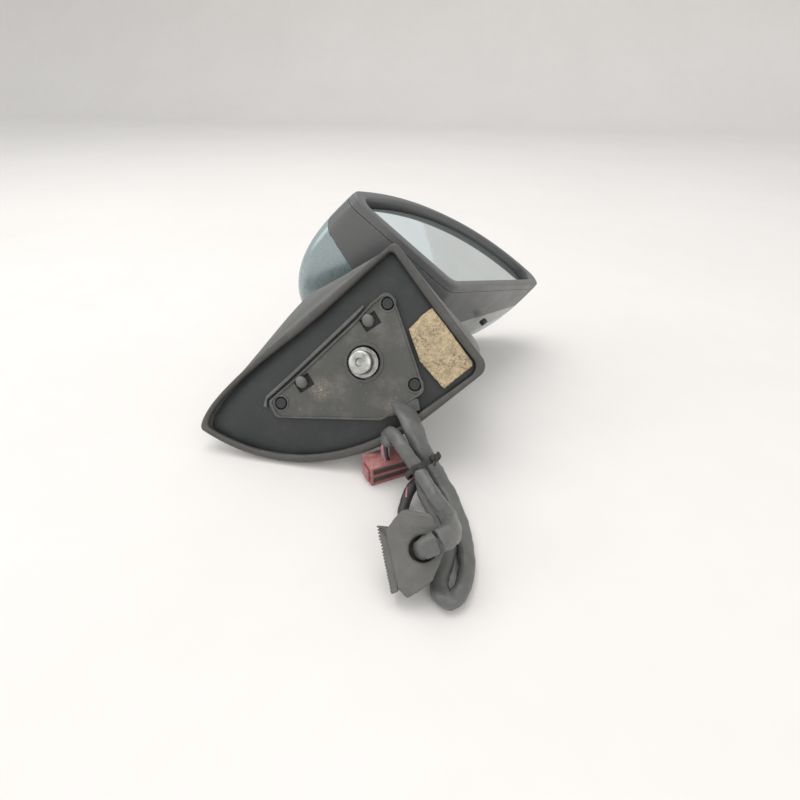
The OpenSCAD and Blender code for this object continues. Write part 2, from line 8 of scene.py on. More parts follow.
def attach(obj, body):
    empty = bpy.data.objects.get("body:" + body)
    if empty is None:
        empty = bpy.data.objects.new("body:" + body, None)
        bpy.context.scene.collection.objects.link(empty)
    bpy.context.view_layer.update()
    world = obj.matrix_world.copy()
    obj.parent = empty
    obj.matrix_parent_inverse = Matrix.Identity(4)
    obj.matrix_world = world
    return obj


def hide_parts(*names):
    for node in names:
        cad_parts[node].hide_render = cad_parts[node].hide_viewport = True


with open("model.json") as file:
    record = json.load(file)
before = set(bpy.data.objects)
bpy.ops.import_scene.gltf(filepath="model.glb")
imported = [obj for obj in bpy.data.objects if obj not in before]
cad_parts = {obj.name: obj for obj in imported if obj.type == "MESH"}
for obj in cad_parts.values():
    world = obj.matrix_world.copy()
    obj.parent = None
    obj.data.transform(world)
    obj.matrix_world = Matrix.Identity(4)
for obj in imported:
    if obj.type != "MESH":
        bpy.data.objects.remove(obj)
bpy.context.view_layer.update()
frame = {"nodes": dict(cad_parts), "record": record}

mm = 0.001
print("mirror: frame loaded,", len(frame["nodes"]), "nodes")

# where the foot and the head lie, in mm and degrees
pose = {
    "turn": 43, "lean": 28, "layAt": (1.2, -97.9, 73.52),
    "headAt": (88, 51, 10), "headTurn": 24, "pivot": (50, 66, 0),
}


def turned(degrees, axis):
    return Matrix.Rotation(math.radians(degrees), 4, axis)


footFrame = (Matrix.Scale(mm, 4) @ Matrix.Translation(pose["layAt"])
             @ turned(-pose["lean"], "X") @ turned(-pose["turn"], "Y"))
headFrame = (footFrame @ Matrix.Translation(pose["headAt"])
             @ turned(90 - pose["headTurn"], "Z") @ turned(90, "X"))
pivotFrame = footFrame @ Matrix.Translation(pose["pivot"])
doorFrame = footFrame @ turned(90, "X")  # x to the rear, y up, z out of the door side
tableFrame = Matrix.Scale(mm, 4)

cameraSettings = {"place": (102.6, -418.1, 251.2), "azimuth": 13, "down": 32, "lens": 23.85, "sensor": 36}


def linked(name, data):
    obj = bpy.data.objects.new(name, data)
    bpy.context.collection.objects.link(obj)
    return obj


def addCamera(s):
    data = bpy.data.cameras.new("viewCamera")
    data.lens, data.sensor_width = s["lens"], s["sensor"]
    data.clip_start, data.clip_end = 0.01, 50
    cam = linked("viewCamera", data)
    cam.location = Vector(s["place"]) * mm
    cam.rotation_euler = (math.radians(90 - s["down"]), 0, math.radians(s["azimuth"]))
    bpy.context.scene.camera = cam


addCamera(cameraSettings)


# shader groups, each with its own named inputs
def newGroup(name, inputs, outputs):
    group = bpy.data.node_groups.new(name, "ShaderNodeTree")
    for socketName, kind, value in inputs:
        socket = group.interface.new_socket(name=socketName, in_out="INPUT", socket_type=kind)
        socket.default_value = value
    for socketName, kind in outputs:
        group.interface.new_socket(name=socketName, in_out="OUTPUT", socket_type=kind)
    start = group.nodes.new("NodeGroupInput")
    end = group.nodes.new("NodeGroupOutput")
    return group, start, end


def addNode(tree, kind, **values):
    node = tree.nodes.new(kind)
    for key, value in values.items():
        setattr(node, key, value)
    return node


def feed(tree, value, socket):
    # a number is set on the socket, anything else is linked to it
    if isinstance(value, (int, float)):
        socket.default_value = value
    else:
        tree.links.new(value, socket)


def mathNode(tree, operation, a, b, clamp=False):
    node = addNode(tree, "ShaderNodeMath", operation=operation, use_clamp=clamp)
    feed(tree, a, node.inputs[0])
    feed(tree, b, node.inputs[1])
    return node.outputs[0]


def mapped(tree, value, low, high, newLow, newHigh):
    node = addNode(tree, "ShaderNodeMapRange", clamp=True)
    tree.links.new(value, node.inputs["Value"])
    for key, number in (("From Min", low), ("From Max", high), ("To Min", newLow), ("To Max", newHigh)):
        feed(tree, number, node.inputs[key])
    return node.outputs["Result"]


def mixColour(tree, factor, a, b, blend="MIX"):
    node = addNode(tree, "ShaderNodeMix", data_type="RGBA", blend_type=blend)
    feed(tree, factor, node.inputs["Factor"])
    for key, value in (("A", a), ("B", b)):
        socket = next(i for i in node.inputs if i.name == key and i.type == "RGBA")
        if isinstance(value, (tuple, list)):
            socket.default_value = (*value[:3], 1)
        else:
            tree.links.new(value, socket)
    return next(o for o in node.outputs if o.type == "RGBA")


def noiseNode(tree, scale, detail=3, roughness=0.55):
    coord = addNode(tree, "ShaderNodeTexCoord").outputs["Object"]
    node = addNode(tree, "ShaderNodeTexNoise")
    tree.links.new(coord, node.inputs["Vector"])
    feed(tree, scale, node.inputs["Scale"])
    node.inputs["Detail"].default_value = detail
    node.inputs["Roughness"].default_value = roughness
    return node.outputs["Fac"]


def buildMottleGroup():  # patches of slightly lighter and darker tone
    inputs = [("Scale", "NodeSocketFloat", 60.0), ("Amount", "NodeSocketFloat", 0.1)]
    group, start, end = newGroup("toneMottle", inputs, [("Tone", "NodeSocketFloat")])
    broad = noiseNode(group, start.outputs["Scale"], 4)
    fine = noiseNode(group, mathNode(group, "MULTIPLY", start.outputs["Scale"], 9), 2)
    both = mathNode(group, "ADD", mathNode(group, "MULTIPLY", broad, 0.7), mathNode(group, "MULTIPLY", fine, 0.3))
    low = mathNode(group, "SUBTRACT", 1, start.outputs["Amount"])
    high = mathNode(group, "ADD", 1, start.outputs["Amount"])
    group.links.new(mapped(group, both, 0.35, 0.65, low, high), end.inputs["Tone"])


def buildGrainGroup():  # moulded grain: small rounded pits
    group, start, end = newGroup("mouldGrain", [("Scale", "NodeSocketFloat", 2500.0)], [("Height", "NodeSocketFloat")])
    coord = addNode(group, "ShaderNodeTexCoord").outputs["Object"]
    cells = addNode(group, "ShaderNodeTexVoronoi", feature="SMOOTH_F1")
    group.links.new(coord, cells.inputs["Vector"])
    group.links.new(start.outputs["Scale"], cells.inputs["Scale"])
    fine = noiseNode(group, mathNode(group, "MULTIPLY", start.outputs["Scale"], 0.5), 3)
    total = mathNode(group, "ADD", cells.outputs["Distance"], mathNode(group, "MULTIPLY", fine, 0.6))
    group.links.new(total, end.inputs["Height"])


def buildWearGroup():  # rubbed edges, broken up by noise
    inputs = [("Amount", "NodeSocketFloat", 0.5), ("Scale", "NodeSocketFloat", 300.0)]
    group, start, end = newGroup("edgeWear", inputs, [("Mask", "NodeSocketFloat")])
    geometry = addNode(group, "ShaderNodeNewGeometry")
    edge = mapped(group, geometry.outputs["Pointiness"], 0.53, 0.62, 0.0, 1.0)
    broken = mapped(group, noiseNode(group, start.outputs["Scale"], 4), 0.42, 0.62, 0.0, 1.0)
    both = mathNode(group, "MULTIPLY", edge, broken)
    group.links.new(mathNode(group, "MULTIPLY", both, start.outputs["Amount"], True), end.inputs["Mask"])


def buildDustGroup():  # dust and pale marks, heavier on faces that look up
    inputs = [("Amount", "NodeSocketFloat", 0.3), ("Scale", "NodeSocketFloat", 90.0)]
    group, start, end = newGroup("settledDust", inputs, [("Mask", "NodeSocketFloat")])
    geometry = addNode(group, "ShaderNodeNewGeometry")
    split = addNode(group, "ShaderNodeSeparateXYZ")
    group.links.new(geometry.outputs["Normal"], split.inputs["Vector"])
    up = mapped(group, split.outputs["Z"], -0.1, 1.0, 0.35, 1.0)
    patches = mapped(group, noiseNode(group, start.outputs["Scale"], 5, 0.65), 0.5, 0.75, 0.0, 0.4)
    fine = noiseNode(group, mathNode(group, "MULTIPLY", start.outputs["Scale"], 14), 2)
    specks = mapped(group, fine, 0.66, 0.74, 0.0, 1.0)
    both = mathNode(group, "MAXIMUM", patches, specks)
    total = mathNode(group, "MULTIPLY", mathNode(group, "MULTIPLY", both, up), start.outputs["Amount"], True)
    group.links.new(total, end.inputs["Mask"])


def buildSpotGroup():  # a grainy heap of dirt round one place
    inputs = [("Place", "NodeSocketVector", (0, 0, 0)), ("Radius", "NodeSocketFloat", 0.01),
              ("Amount", "NodeSocketFloat", 1.0)]
    group, start, end = newGroup("dustSpot", inputs, [("Mask", "NodeSocketFloat")])
    coord = addNode(group, "ShaderNodeTexCoord").outputs["Object"]
    apart = addNode(group, "ShaderNodeVectorMath", operation="DISTANCE")
    group.links.new(coord, apart.inputs[0])
    group.links.new(start.outputs["Place"], apart.inputs[1])
    near = mapped(group, apart.outputs["Value"], 0.0, start.outputs["Radius"], 1.0, 0.0)
    grains = mapped(group, noiseNode(group, 1100, 3, 0.7), 0.44, 0.6, 0.0, 1.0)
    both = mathNode(group, "MULTIPLY", near, grains)
    group.links.new(mathNode(group, "MULTIPLY", both, start.outputs["Amount"], True), end.inputs["Mask"])


def buildSpeckleGroup():  # dark crumbs, and painted shade in pores
    group, start, end = newGroup("darkSpeckle", [("Amount", "NodeSocketFloat", 0.5)], [("Mask", "NodeSocketFloat")])
    crumbsAndPoreShade = mapped(group, noiseNode(group, 520, 4, 0.8), 0.5, 0.6, 0.0, 1.0)
    areas = mapped(group, noiseNode(group, 70, 2), 0.38, 0.6, 0.25, 1.0)
    both = mathNode(group, "MULTIPLY", crumbsAndPoreShade, areas)
    group.links.new(mathNode(group, "MULTIPLY", both, start.outputs["Amount"], True), end.inputs["Mask"])


for build in (buildMottleGroup, buildGrainGroup, buildWearGroup, buildDustGroup, buildSpotGroup, buildSpeckleGroup):
    build()


def placeGroup(tree, name, **values):
    node = addNode(tree, "ShaderNodeGroup")
    node.node_tree = bpy.data.node_groups[name]
    for key, value in values.items():
        node.inputs[key].default_value = value
    return node.outputs[0]


def newMaterial(name):
    mat = bpy.data.materials.new(name)
    mat.use_nodes = True
    return mat, mat.node_tree, mat.node_tree.nodes["Principled BSDF"]


def finish(name, colour, roughness=0.55, metallic=0.0, mottle=0.12, mottleScale=60, grain=0.0, grainScale=2500,
           grainDepth=0.00004, wear=0.0, wearColour=(0.3, 0.31, 0.32), dust=0.0, dustColour=(0.45, 0.42, 0.37),
           dustScale=90, roughSpread=0.1, coat=0.0, sheen=0.0, speckle=0.0, crumbAndPoreShadeColour=(0.13, 0.09, 0.055),
           spots=(), spotColour=(0.36, 0.31, 0.24)):
    # mottle, wear, crumbs with painted shade in pores, heaps of dirt and dust lie over the colour in this order
    mat, tree, shader = newMaterial(name)
    shader.inputs["Metallic"].default_value = metallic
    shader.inputs["Coat Weight"].default_value = coat
    shader.inputs["Coat Roughness"].default_value = 0.12
    shader.inputs["Sheen Weight"].default_value = sheen
    mat.diffuse_color = (*colour, 1)
    tone = placeGroup(tree, "toneMottle", Scale=mottleScale, Amount=mottle)
    result = mixColour(tree, 1.0, colour, tone, "MULTIPLY")
    rough = mapped(tree, tone, 1 - mottle, 1 + mottle, roughness - roughSpread, roughness + roughSpread)
    if wear:
        mask = placeGroup(tree, "edgeWear", Amount=wear)
        result = mixColour(tree, mask, result, wearColour)
    # dark crumbs, and painted shade in the pores of foam
    if speckle:
        mask = placeGroup(tree, "darkSpeckle", Amount=speckle)
        result = mixColour(tree, mask, result, crumbAndPoreShadeColour)
    for place, radius, amount in spots:
        mask = placeGroup(tree, "dustSpot", Place=footFrame @ Vector(place), Radius=radius * mm, Amount=amount)
        result = mixColour(tree, mask, result, spotColour)
    if dust:
        mask = placeGroup(tree, "settledDust", Amount=dust, Scale=dustScale)
        result = mixColour(tree, mask, result, dustColour)
        rough = mathNode(tree, "ADD", rough, mathNode(tree, "MULTIPLY", mask, 0.25), True)
    tree.links.new(result, shader.inputs["Base Color"])
    tree.links.new(rough, shader.inputs["Roughness"])
    if grain:
        bump = addNode(tree, "ShaderNodeBump")
        bump.inputs["Strength"].default_value = grain
        bump.inputs["Distance"].default_value = grainDepth
        tree.links.new(placeGroup(tree, "mouldGrain", Scale=grainScale), bump.inputs["Height"])
        tree.links.new(bump.outputs["Normal"], shader.inputs["Normal"])
    return mat


finishes = {
    "foot_plastic": finish("footPlastic", (0.15, 0.152, 0.148), 0.55, grain=0.5, wear=0.4, dust=0.15, mottle=0.06),
    "gasket_rubber": finish("gasketRubber", (0.068, 0.066, 0.062), 0.5, grain=0.35, grainScale=1400, wear=0.35,
                            wearColour=(0.24, 0.24, 0.23), dust=0.3, mottle=0.1, dustScale=70),
    "recess_plastic": finish("recessPlastic", (0.028, 0.0295, 0.031), 0.5, grain=0.25, dust=0.12, mottle=0.08,
                             dustScale=60),
    "mounting_plate": finish("platePlastic", (0.083, 0.082, 0.077), 0.5, grain=0.3, dust=0.5, mottle=0.08,
                             dustScale=60, wear=0.6, wearColour=(0.28, 0.28, 0.27),
                             spots=(((-38, 3, 4), 11, 0.9), ((-2, 3, -37), 8, 0.7), ((22, 3, 12), 7, 0.25))),
    "edge_strip": finish("stripPlastic", (0.1, 0.1, 0.096), 0.5, grain=0.3, dust=0.2, mottle=0.08, wear=0.5),
    "locating_pegs": finish("pegPlastic", (0.15, 0.15, 0.145), 0.42, grain=0.2, dust=0.2, mottle=0.14),
    "worn_steel": finish("wornSteel", (0.5, 0.495, 0.475), 0.36, metallic=1, mottle=0.3, mottleScale=200, grain=0.35,
                         grainScale=700, roughSpread=0.16, dust=0.4, dustColour=(0.2, 0.18, 0.15)),
    "plain_steel": finish("platedSteel", (0.5, 0.5, 0.5), 0.35, metallic=1, mottle=0.1, grain=0.15),
    # the foam's dark speckle is crumbs and painted shade in its pores
    "foam": finish("agedFoam", (0.47, 0.37, 0.235), 0.95, mottle=0.32, mottleScale=230, grain=1.0, grainScale=900,
                   grainDepth=0.0006, dust=0.6, dustColour=(0.62, 0.53, 0.38), dustScale=200, sheen=0.3,
                   speckle=0.85, spots=(((60, 1, -44), 8, 0.95), ((37, 1, -30), 6, 0.7)),
                   spotColour=(0.1, 0.07, 0.045)),
    "cast_alloy": finish("castAlloy", (0.55, 0.56, 0.57), 0.5, metallic=1, grain=0.5, grainScale=1200),
    "housing_plastic": finish("housingPlastic", (0.118, 0.121, 0.12), 0.42, grain=0.5, wear=0.35, dust=0.12,
                              mottle=0.05, coat=0.12),
    "cap_paint": finish("capPaint", (0.31, 0.375, 0.385), 0.3, metallic=0.5, mottle=0.03, mottleScale=300,
                        coat=0.7, roughSpread=0.05),
    "cover_plastic": finish("coverPlastic", (0.37, 0.37, 0.357), 0.36, metallic=0.15, mottle=0.05, grain=0.2, dust=0.1,
                            coat=0.3),
    "black_plastic": finish("blackPlastic", (0.02, 0.02, 0.02), 0.45, grain=0.25, mottle=0.15, dust=0.15),
    "connector_cores": finish("terminalBlock", (0.055, 0.065, 0.055), 0.5, grain=0.4, mottle=0.3, mottleScale=500,
                              dust=0.5),
    "nylon": finish("nylonWhite", (0.72, 0.71, 0.66), 0.4, mottle=0.05, grain=0.1),
    "heater_film": finish("heaterFilm", (0.42, 0.27, 0.06), 0.4, mottle=0.1),
    "harness_sleeve": finish("sleeveVinyl", (0.11, 0.111, 0.107), 0.42, mottle=0.1, mottleScale=110, grain=0.4,
                             grainScale=800, grainDepth=0.00012, dust=0.25, dustScale=120, wear=0.35, coat=0.15),
    "cloth_tape": finish("woundTape", (0.03, 0.03, 0.03), 0.5, mottle=0.2, grain=0.5, grainScale=1500, dust=0.25),
    "grommet_rubber": finish("grommetRubber", (0.135, 0.133, 0.126), 0.8, mottle=0.14, mottleScale=120, grain=0.8,
                             grainScale=1100, grainDepth=0.00018, dust=0.35, dustColour=(0.3, 0.29, 0.27),
                             dustScale=150, wear=0.4),
    "connector_pink": finish("connectorPink", (0.34, 0.125, 0.12), 0.42, mottle=0.18, mottleScale=140, grain=0.15,
                             dust=0.35, dustColour=(0.5, 0.36, 0.35), wear=0.4, wearColour=(0.6, 0.4, 0.4)),
}


def mirrorFinish():  # silvered glass with faint smears
    mat, tree, shader = newMaterial("silveredGlass")
    shader.inputs["Metallic"].default_value = 1
    tone = placeGroup(tree, "toneMottle", Scale=35, Amount=0.03)
    tree.links.new(mixColour(tree, 1.0, (0.82, 0.89, 0.9), tone, "MULTIPLY"), shader.inputs["Base Color"])
    tree.links.new(mapped(tree, tone, 0.97, 1.03, 0.02, 0.07), shader.inputs["Roughness"])
    return mat


finishes["mirror_glass"] = mirrorFinish()
slotOf = {row["node"]: row["material_slot"] for row in frame["record"]["subparts"]}
bodyOf = {node: body for body, nodes in frame["record"]["behaviour"]["bodies"].items() for node in nodes}


def finishOf(node):
    return finishes.get(node, finishes[slotOf[node]])


for nodeName, obj in frame["nodes"].items():
    for materialSlot in obj.material_slots:
        materialSlot.material = finishOf(nodeName)
print("mirror: finishes ready")


def markSharp(bm, degrees):
    # smooth faces, with a sharp edge where they turn by more than this
    limit = math.radians(degrees)
    for edge in bm.edges:
        edge.smooth = len(edge.link_faces) != 2 or edge.calc_face_angle(0) < limit
    for face in bm.faces:
        face.smooth = True


def shaded(obj, degrees):
    bm = bmesh.new()
    bm.from_mesh(obj.data)
    markSharp(bm, degrees)
    bm.to_mesh(obj.data)
    bm.free()
    return obj


def settle(obj, node, standsFor=True):
    # gives a piece its finish and its body, and hides the node that it stands for
    obj.data.materials.clear()
    obj.data.materials.append(finishOf(node))
    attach(obj, bodyOf[node])
    if standsFor:
        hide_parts(node)
    return obj


def fromMesh(name, points, faces, placing, sharp=38):
    mesh = bpy.data.meshes.new(name)
    mesh.from_pydata([placing @ Vector(p) for p in points], [], faces)
    bm = bmesh.new()
    bm.from_mesh(mesh)
    bmesh.ops.remove_doubles(bm, verts=bm.verts, dist=1e-7)
    bmesh.ops.recalc_face_normals(bm, faces=bm.faces)
    markSharp(bm, sharp)
    bm.to_mesh(mesh)
    bm.free()
    return linked(name, mesh)


def loft(rows, wrap=False, closed=True, caps=()):
    # faces between rows of points; caps are the points that shut the first and the last row
    count = len(rows[0])
    points = [p for row in rows for p in row]
    faces = []
    for j in range(len(rows) if wrap else len(rows) - 1):
        following = (j + 1) % len(rows)
        for i in range(count if closed else count - 1):
            k = (i + 1) % count
            faces.append((j * count + i, j * count + k, following * count + k, following * count + i))
    for base, cap in zip((0, (len(rows) - 1) * count), caps):
        points.append(cap)
        for i in range(count):
            faces.append((base + i, base + (i + 1) % count, len(points) - 1))
    return points, faces


def applied(obj):
    # bakes the modifiers into the mesh
    evaluated = obj.evaluated_get(bpy.context.evaluated_depsgraph_get())
    mesh = bpy.data.meshes.new_from_object(evaluated)
    obj.modifiers.clear()
    obj.data = mesh
    return obj


def softened(node, width=0.4, segments=2):
    # the plain piece again, with its edges broken
    source = frame["nodes"][node]
    mesh = source.data.copy()
    bm = bmesh.new()
    bm.from_mesh(mesh)
    bmesh.ops.remove_doubles(bm, verts=bm.verts, dist=2e-6)
    bmesh.ops.dissolve_limit(bm, angle_limit=math.radians(1), verts=bm.verts, edges=bm.edges)
    bmesh.ops.recalc_face_normals(bm, faces=bm.faces)
    bm.to_mesh(mesh)
    bm.free()
    obj = linked(node + "_finished", mesh)
    obj.matrix_world = source.matrix_world.copy()
    bevel = obj.modifiers.new("edges", "BEVEL")
    bevel.width, bevel.segments = width * mm, segments
    bevel.limit_method, bevel.angle_limit = "ANGLE", math.radians(35)
    return settle(shaded(applied(obj), 50), node)


def slab(name, loops, low, high, placing, bevel=0.4, resolution=3):
    # flat piece from outlines, the first outside and the rest holes, with rounded edges
    curve = bpy.data.curves.new(name, "CURVE")
    curve.dimensions, curve.fill_mode = "2D", "BOTH"
    curve.extrude, curve.bevel_depth = (high - low) / 2 - bevel, bevel
    if bevel:
        curve.offset, curve.bevel_resolution = -bevel, resolution
    for loop in loops:
        spline = curve.splines.new("POLY")
        spline.points.add(len(loop) - 1)
        for point, p in zip(spline.points, loop):
            point.co = (p[0], p[1], 0, 1)
        spline.use_cyclic_u = True
    holder = linked(name + "Outline", curve)
    mesh = bpy.data.meshes.new_from_object(holder.evaluated_get(bpy.context.evaluated_depsgraph_get()))
    bpy.data.objects.remove(holder)
    points = [Vector((v.co.x, v.co.y, v.co.z + (low + high) / 2)) for v in mesh.vertices]
    faces = [tuple(f.vertices) for f in mesh.polygons]
    return fromMesh(name, points, faces, placing)


def lathe(name, profile, placing, steps=48):
    # profile is radius and height from the axis up and back to it
    rows = [[(r * math.cos(a), r * math.sin(a), h) for a in (2 * math.pi * i / steps for i in range(steps))]
            for r, h in profile if r > 0]
    points, faces = loft(rows, caps=((0, 0, profile[0][1]), (0, 0, profile[-1][1])))
    return fromMesh(name, points, faces, placing)


def joined(name, pieces):
    bm = bmesh.new()
    for piece in pieces:
        bm.from_mesh(piece.data)
        bpy.data.objects.remove(piece)
    mesh = bpy.data.meshes.new(name)
    bm.to_mesh(mesh)
    bm.free()
    return linked(name, mesh)


def roughened(obj, amount, scale, seed=0):
    # moves each point a little along its normal
    for v in obj.data.vertices:
        v.co += v.normal * amount * mm * noise.noise(v.co * scale + Vector((seed, 0, 0)))
    return obj


def blend(a, b, t):
    return a + (b - a) * t


def bezier(a, b, c, d, t):
    return sum((Vector(p) * k for p, k in
                zip((a, b, c, d), ((1 - t) ** 3, 3 * (1 - t) ** 2 * t, 3 * (1 - t) * t * t, t ** 3))), Vector((0, 0)))


def between(a, b, c, d, t):
    # smooth curve from b to c that knows its neighbours a and d
    return 0.5 * (2 * b + (c - a) * t + (2 * a - 5 * b + 4 * c - d) * t * t + (3 * b - a - 3 * c + d) * t ** 3)


def cornerArc(a, b, c, radius, step):
    u, v = (a - b).normalized(), (c - b).normalized()
    half = u.angle(v) / 2
    centre = b + (u + v).normalized() * radius / math.sin(half)
    p, q = b + u * radius / math.tan(half) - centre, b + v * radius / math.tan(half) - centre
    start = math.atan2(p.y, p.x)
    sweep = (math.atan2(q.y, q.x) - start + 3 * math.pi) % (2 * math.pi) - math.pi
    count = max(3, round(abs(math.degrees(sweep)) / step))
    return [centre + radius * Vector((math.cos(start + sweep * k / count), math.sin(start + sweep * k / count)))
            for k in range(count + 1)]


def outline(corners, step=9, span=4):
    # closed outline from corners (x, y, radius), with points along its long straight edges
    points = []
    count = len(corners)
    for i, (x, y, radius) in enumerate(corners):
        b = Vector((x, y))
        a, c = Vector(corners[i - 1][:2]), Vector(corners[(i + 1) % count][:2])
        points += cornerArc(a, b, c, radius, step) if radius else [b]
    full = []
    for i, p in enumerate(points):
        q = points[(i + 1) % len(points)]
        pieces = max(1, int((q - p).length / span))
        full += [p.lerp(q, k / pieces) for k in range(pieces)]
    return full


def scaled(points, centre, kx, ky):
    return [Vector((centre[0] + (p.x - centre[0]) * kx, centre[1] + (p.y - centre[1]) * ky)) for p in points]


def disc(radius, x=0, y=0, count=40):
    return [Vector((x + radius * math.cos(2 * math.pi * i / count), y + radius * math.sin(2 * math.pi * i / count)))
            for i in range(count)]


# the foot: a shell from the door side to the neck, in mm
foot = {
    "rear": 69.5, "top": 54, "low": 59, "sweepRadius": 150.4, "sweepStart": 6, "sweepSteps": 48, "sweepDegrees": 1.4,
    "tip": (-134.2, 37), "topBend": ((-120, 56), (-40, 52)), "topSteps": 28, "mid": (-15, 0), "wall": 2.6,
    "gasketDepth": 6, "gasketWidth": 6.5, "grooveFrom": 6.3, "grooveTo": 8.4, "grooveDeep": 1.5, "lipAt": 8.6,
    "lipDeep": 0.5, "shellFrom": 8.8, "neckMid": (50, -25), "neckHalf": (22, 21.7), "neckY": 66,
    "swell": 15, "swellFrom": -137, "swellLong": 206.5, "swellLow": 20, "swellRise": 14, "holdEnd": 25,
}


def footEdge():
    s = foot
    corners = [(s["rear"], s["top"], 4), (s["rear"], 2 - s["low"], 9), (s["sweepStart"], -s["low"], 0)]
    for k in range(1, s["sweepSteps"] + 1):
        a = math.radians(s["sweepDegrees"] * k)
        corners.append((s["sweepStart"] - s["sweepRadius"] * math.sin(a),
                        s["sweepRadius"] - s["low"] - s["sweepRadius"] * math.cos(a), 0))
    corners.append((*s["tip"], 4))
    for k in range(1, s["topSteps"]):  # starts a little past the tip, which has its own corner
        p = bezier(s["tip"], *s["topBend"], (s["rear"], s["top"]), k / s["topSteps"] * 0.985 + 0.015)
        corners.append((p.x, p.y, 0))
    return outline(corners)


footLine = footEdge()
footMid = Vector(foot["mid"])

# each station has its distance outboard, share of the way to the neck, narrowing of the neck,
# share of the swelling and hold of the upper edge
stations = [(6.3, 0, 1, 0, 1), (9, 0.012, 1, 0.55, 1), (11.5, 0.06, 1, 0.86, 1), (13, 0.2, 1, 0.95, 1),
            (14, 0.4, 1, 0.98, 1), (15, 0.62, 1, 1, 0.98), (18, 0.82, 1, 1, 0.9), (22, 0.9, 1, 0.95, 0.73),
            (26, 0.95, 1, 0.8, 0.53), (32, 0.98, 1, 0.5, 0.25), (40, 1, 1, 0, 0), (66, 1, 1, 0, 0)]
stations += [(66 + 22 * math.sin(math.radians(a)), 1, math.cos(math.radians(a)), 0, 0)
             for a in (15, 30, 42, 55, 65, 75, 83)]


def upperEdge(p):
    # how far a point of the outline lies on the swollen upper edge
    s = foot
    along = min(1, max(0, (p.x - s["swellFrom"]) / s["swellLong"]))
    return min(1, max(0, (p.y - s["swellLow"]) / s["swellRise"])) * math.sin(math.pi * along ** 1.6)


def smoothStations(rows, pieces):
    # passes a soft curve through the stations
    full = []
    for i in range(len(rows) - 1):
        before, a, b, after = rows[max(i - 1, 0)], rows[i], rows[i + 1], rows[min(i + 2, len(rows) - 1)]
        for k in range(pieces):
            full.append(tuple(between(*values, k / pieces) for values in zip(before, a, b, after)))
    return full + [rows[-1]]


def footRow(station, wall):
    # one ring of the shell, moved in by the wall
    out, shareHere, narrow, swell, hold = station
    neckMid = Vector(foot["neckMid"])
    halfWide, halfHigh = foot["neckHalf"]
    holdEnd = foot["holdEnd"]
    row = []
    for p in footLine:
        upper = upperEdge(p)
        held = upper * hold * min(1, max(0, (holdEnd - p.x) / holdEnd))
        share = min(max(shareHere, 0), 1) * (1 - held)
        centre = footMid.lerp(neckMid, share)
        d = p - footMid
        a = math.atan2(d.y / 0.6, d.x)
        size = (abs(math.cos(a)) ** 3 + abs(math.sin(a)) ** 3) ** (-1 / 3)  # squarish round
        neck = neckMid + Vector((halfWide * math.cos(a) * size * narrow, halfHigh * math.sin(a) * size))
        q = (p + Vector((0, foot["swell"] * upper * swell))).lerp(neck, share)
        k = max(0.1, 1 - wall / (q - centre).length)
        q = centre + (q - centre) * k
        back = 1 if narrow < 0.9 else min(1, share / 0.1, (1 - share) / 0.1)
        row.append((q.x, out - wall * back, q.y))
    return row


def buildFootShell():
    # a groove beside the gasket, a small lip, then the shell up to the neck's top
    s = foot
    groove = [footRow((out, 0, 1, 0, 1), s["grooveDeep"]) for out in (s["grooveFrom"], s["grooveTo"])]
    lip = footRow((s["lipAt"], 0, 1, 0.24, 1), s["lipDeep"])
    outer = groove + [lip] + [footRow(row, 0) for row in smoothStations(stations, 4) if row[0] > s["shellFrom"]]
    inner = [footRow(row, s["wall"]) for row in stations]
    x, z = s["neckMid"]
    top = s["neckY"] + s["neckHalf"][0]
    points, faces = loft(outer[::-1] + inner, caps=((x, top, z), (x, top - s["wall"], z)))
    return settle(fromMesh("foot_shell", points, faces, footFrame, 50), "base_shell")


def buildGasket():
    # a squarish bead round the door side
    s = foot
    profile = []
    for i in range(20):
        a = 2 * math.pi * i / 20
        c, d = math.cos(a), math.sin(a)
        profile.append((0.5 - 0.5 * math.copysign(abs(c) ** 0.8, c), 0.5 + 0.5 * math.copysign(abs(d) ** 0.8, d)))
    rows = []
    for across, deep in profile:
        row = []
        for p in footLine:
            d = footMid - p
            q = p + d * (across * s["gasketWidth"] / d.length)
            row.append((q.x, s["gasketDepth"] * (1 - deep), q.y))
        rows.append(row)
    points, faces = loft(rows, wrap=True)
    return settle(roughened(fromMesh("gasket_bead", points, faces, footFrame, 60), 0.12, 90), "base_gasket")


buildFootShell()
buildGasket()

# depths run into the foot, and in the door frame z points out of its door side
plate = {
    "corners": [(47.5, 30.5, 6), (24, -43.5, 6), (-14, -41.5, 10), (-79, 8, 6), (-77, 21, 4), (-53, 22, 2),
                (14, 27.5, 3), (30, 30.5, 3)],
    "front": 3.2, "panel": 6.2, "seat": 0.8, "rimHigh": 1.2, "rimWide": 2,
    "studHole": 12.4, "collar": (14.6, 12.5), "collarHigh": 0.7, "pins": [(39.2, 22.7), (-69.2, 14.2), (20.6, -34.9)],
    "pinHole": 4.9, "pinRing": (6.3, 5), "pinRingHigh": 0.5, "pegs": [(21.5, 20.5), (-45.5, 15.5)],
    "pegHole": (6.5, 5), "pegTurn": -5,
}


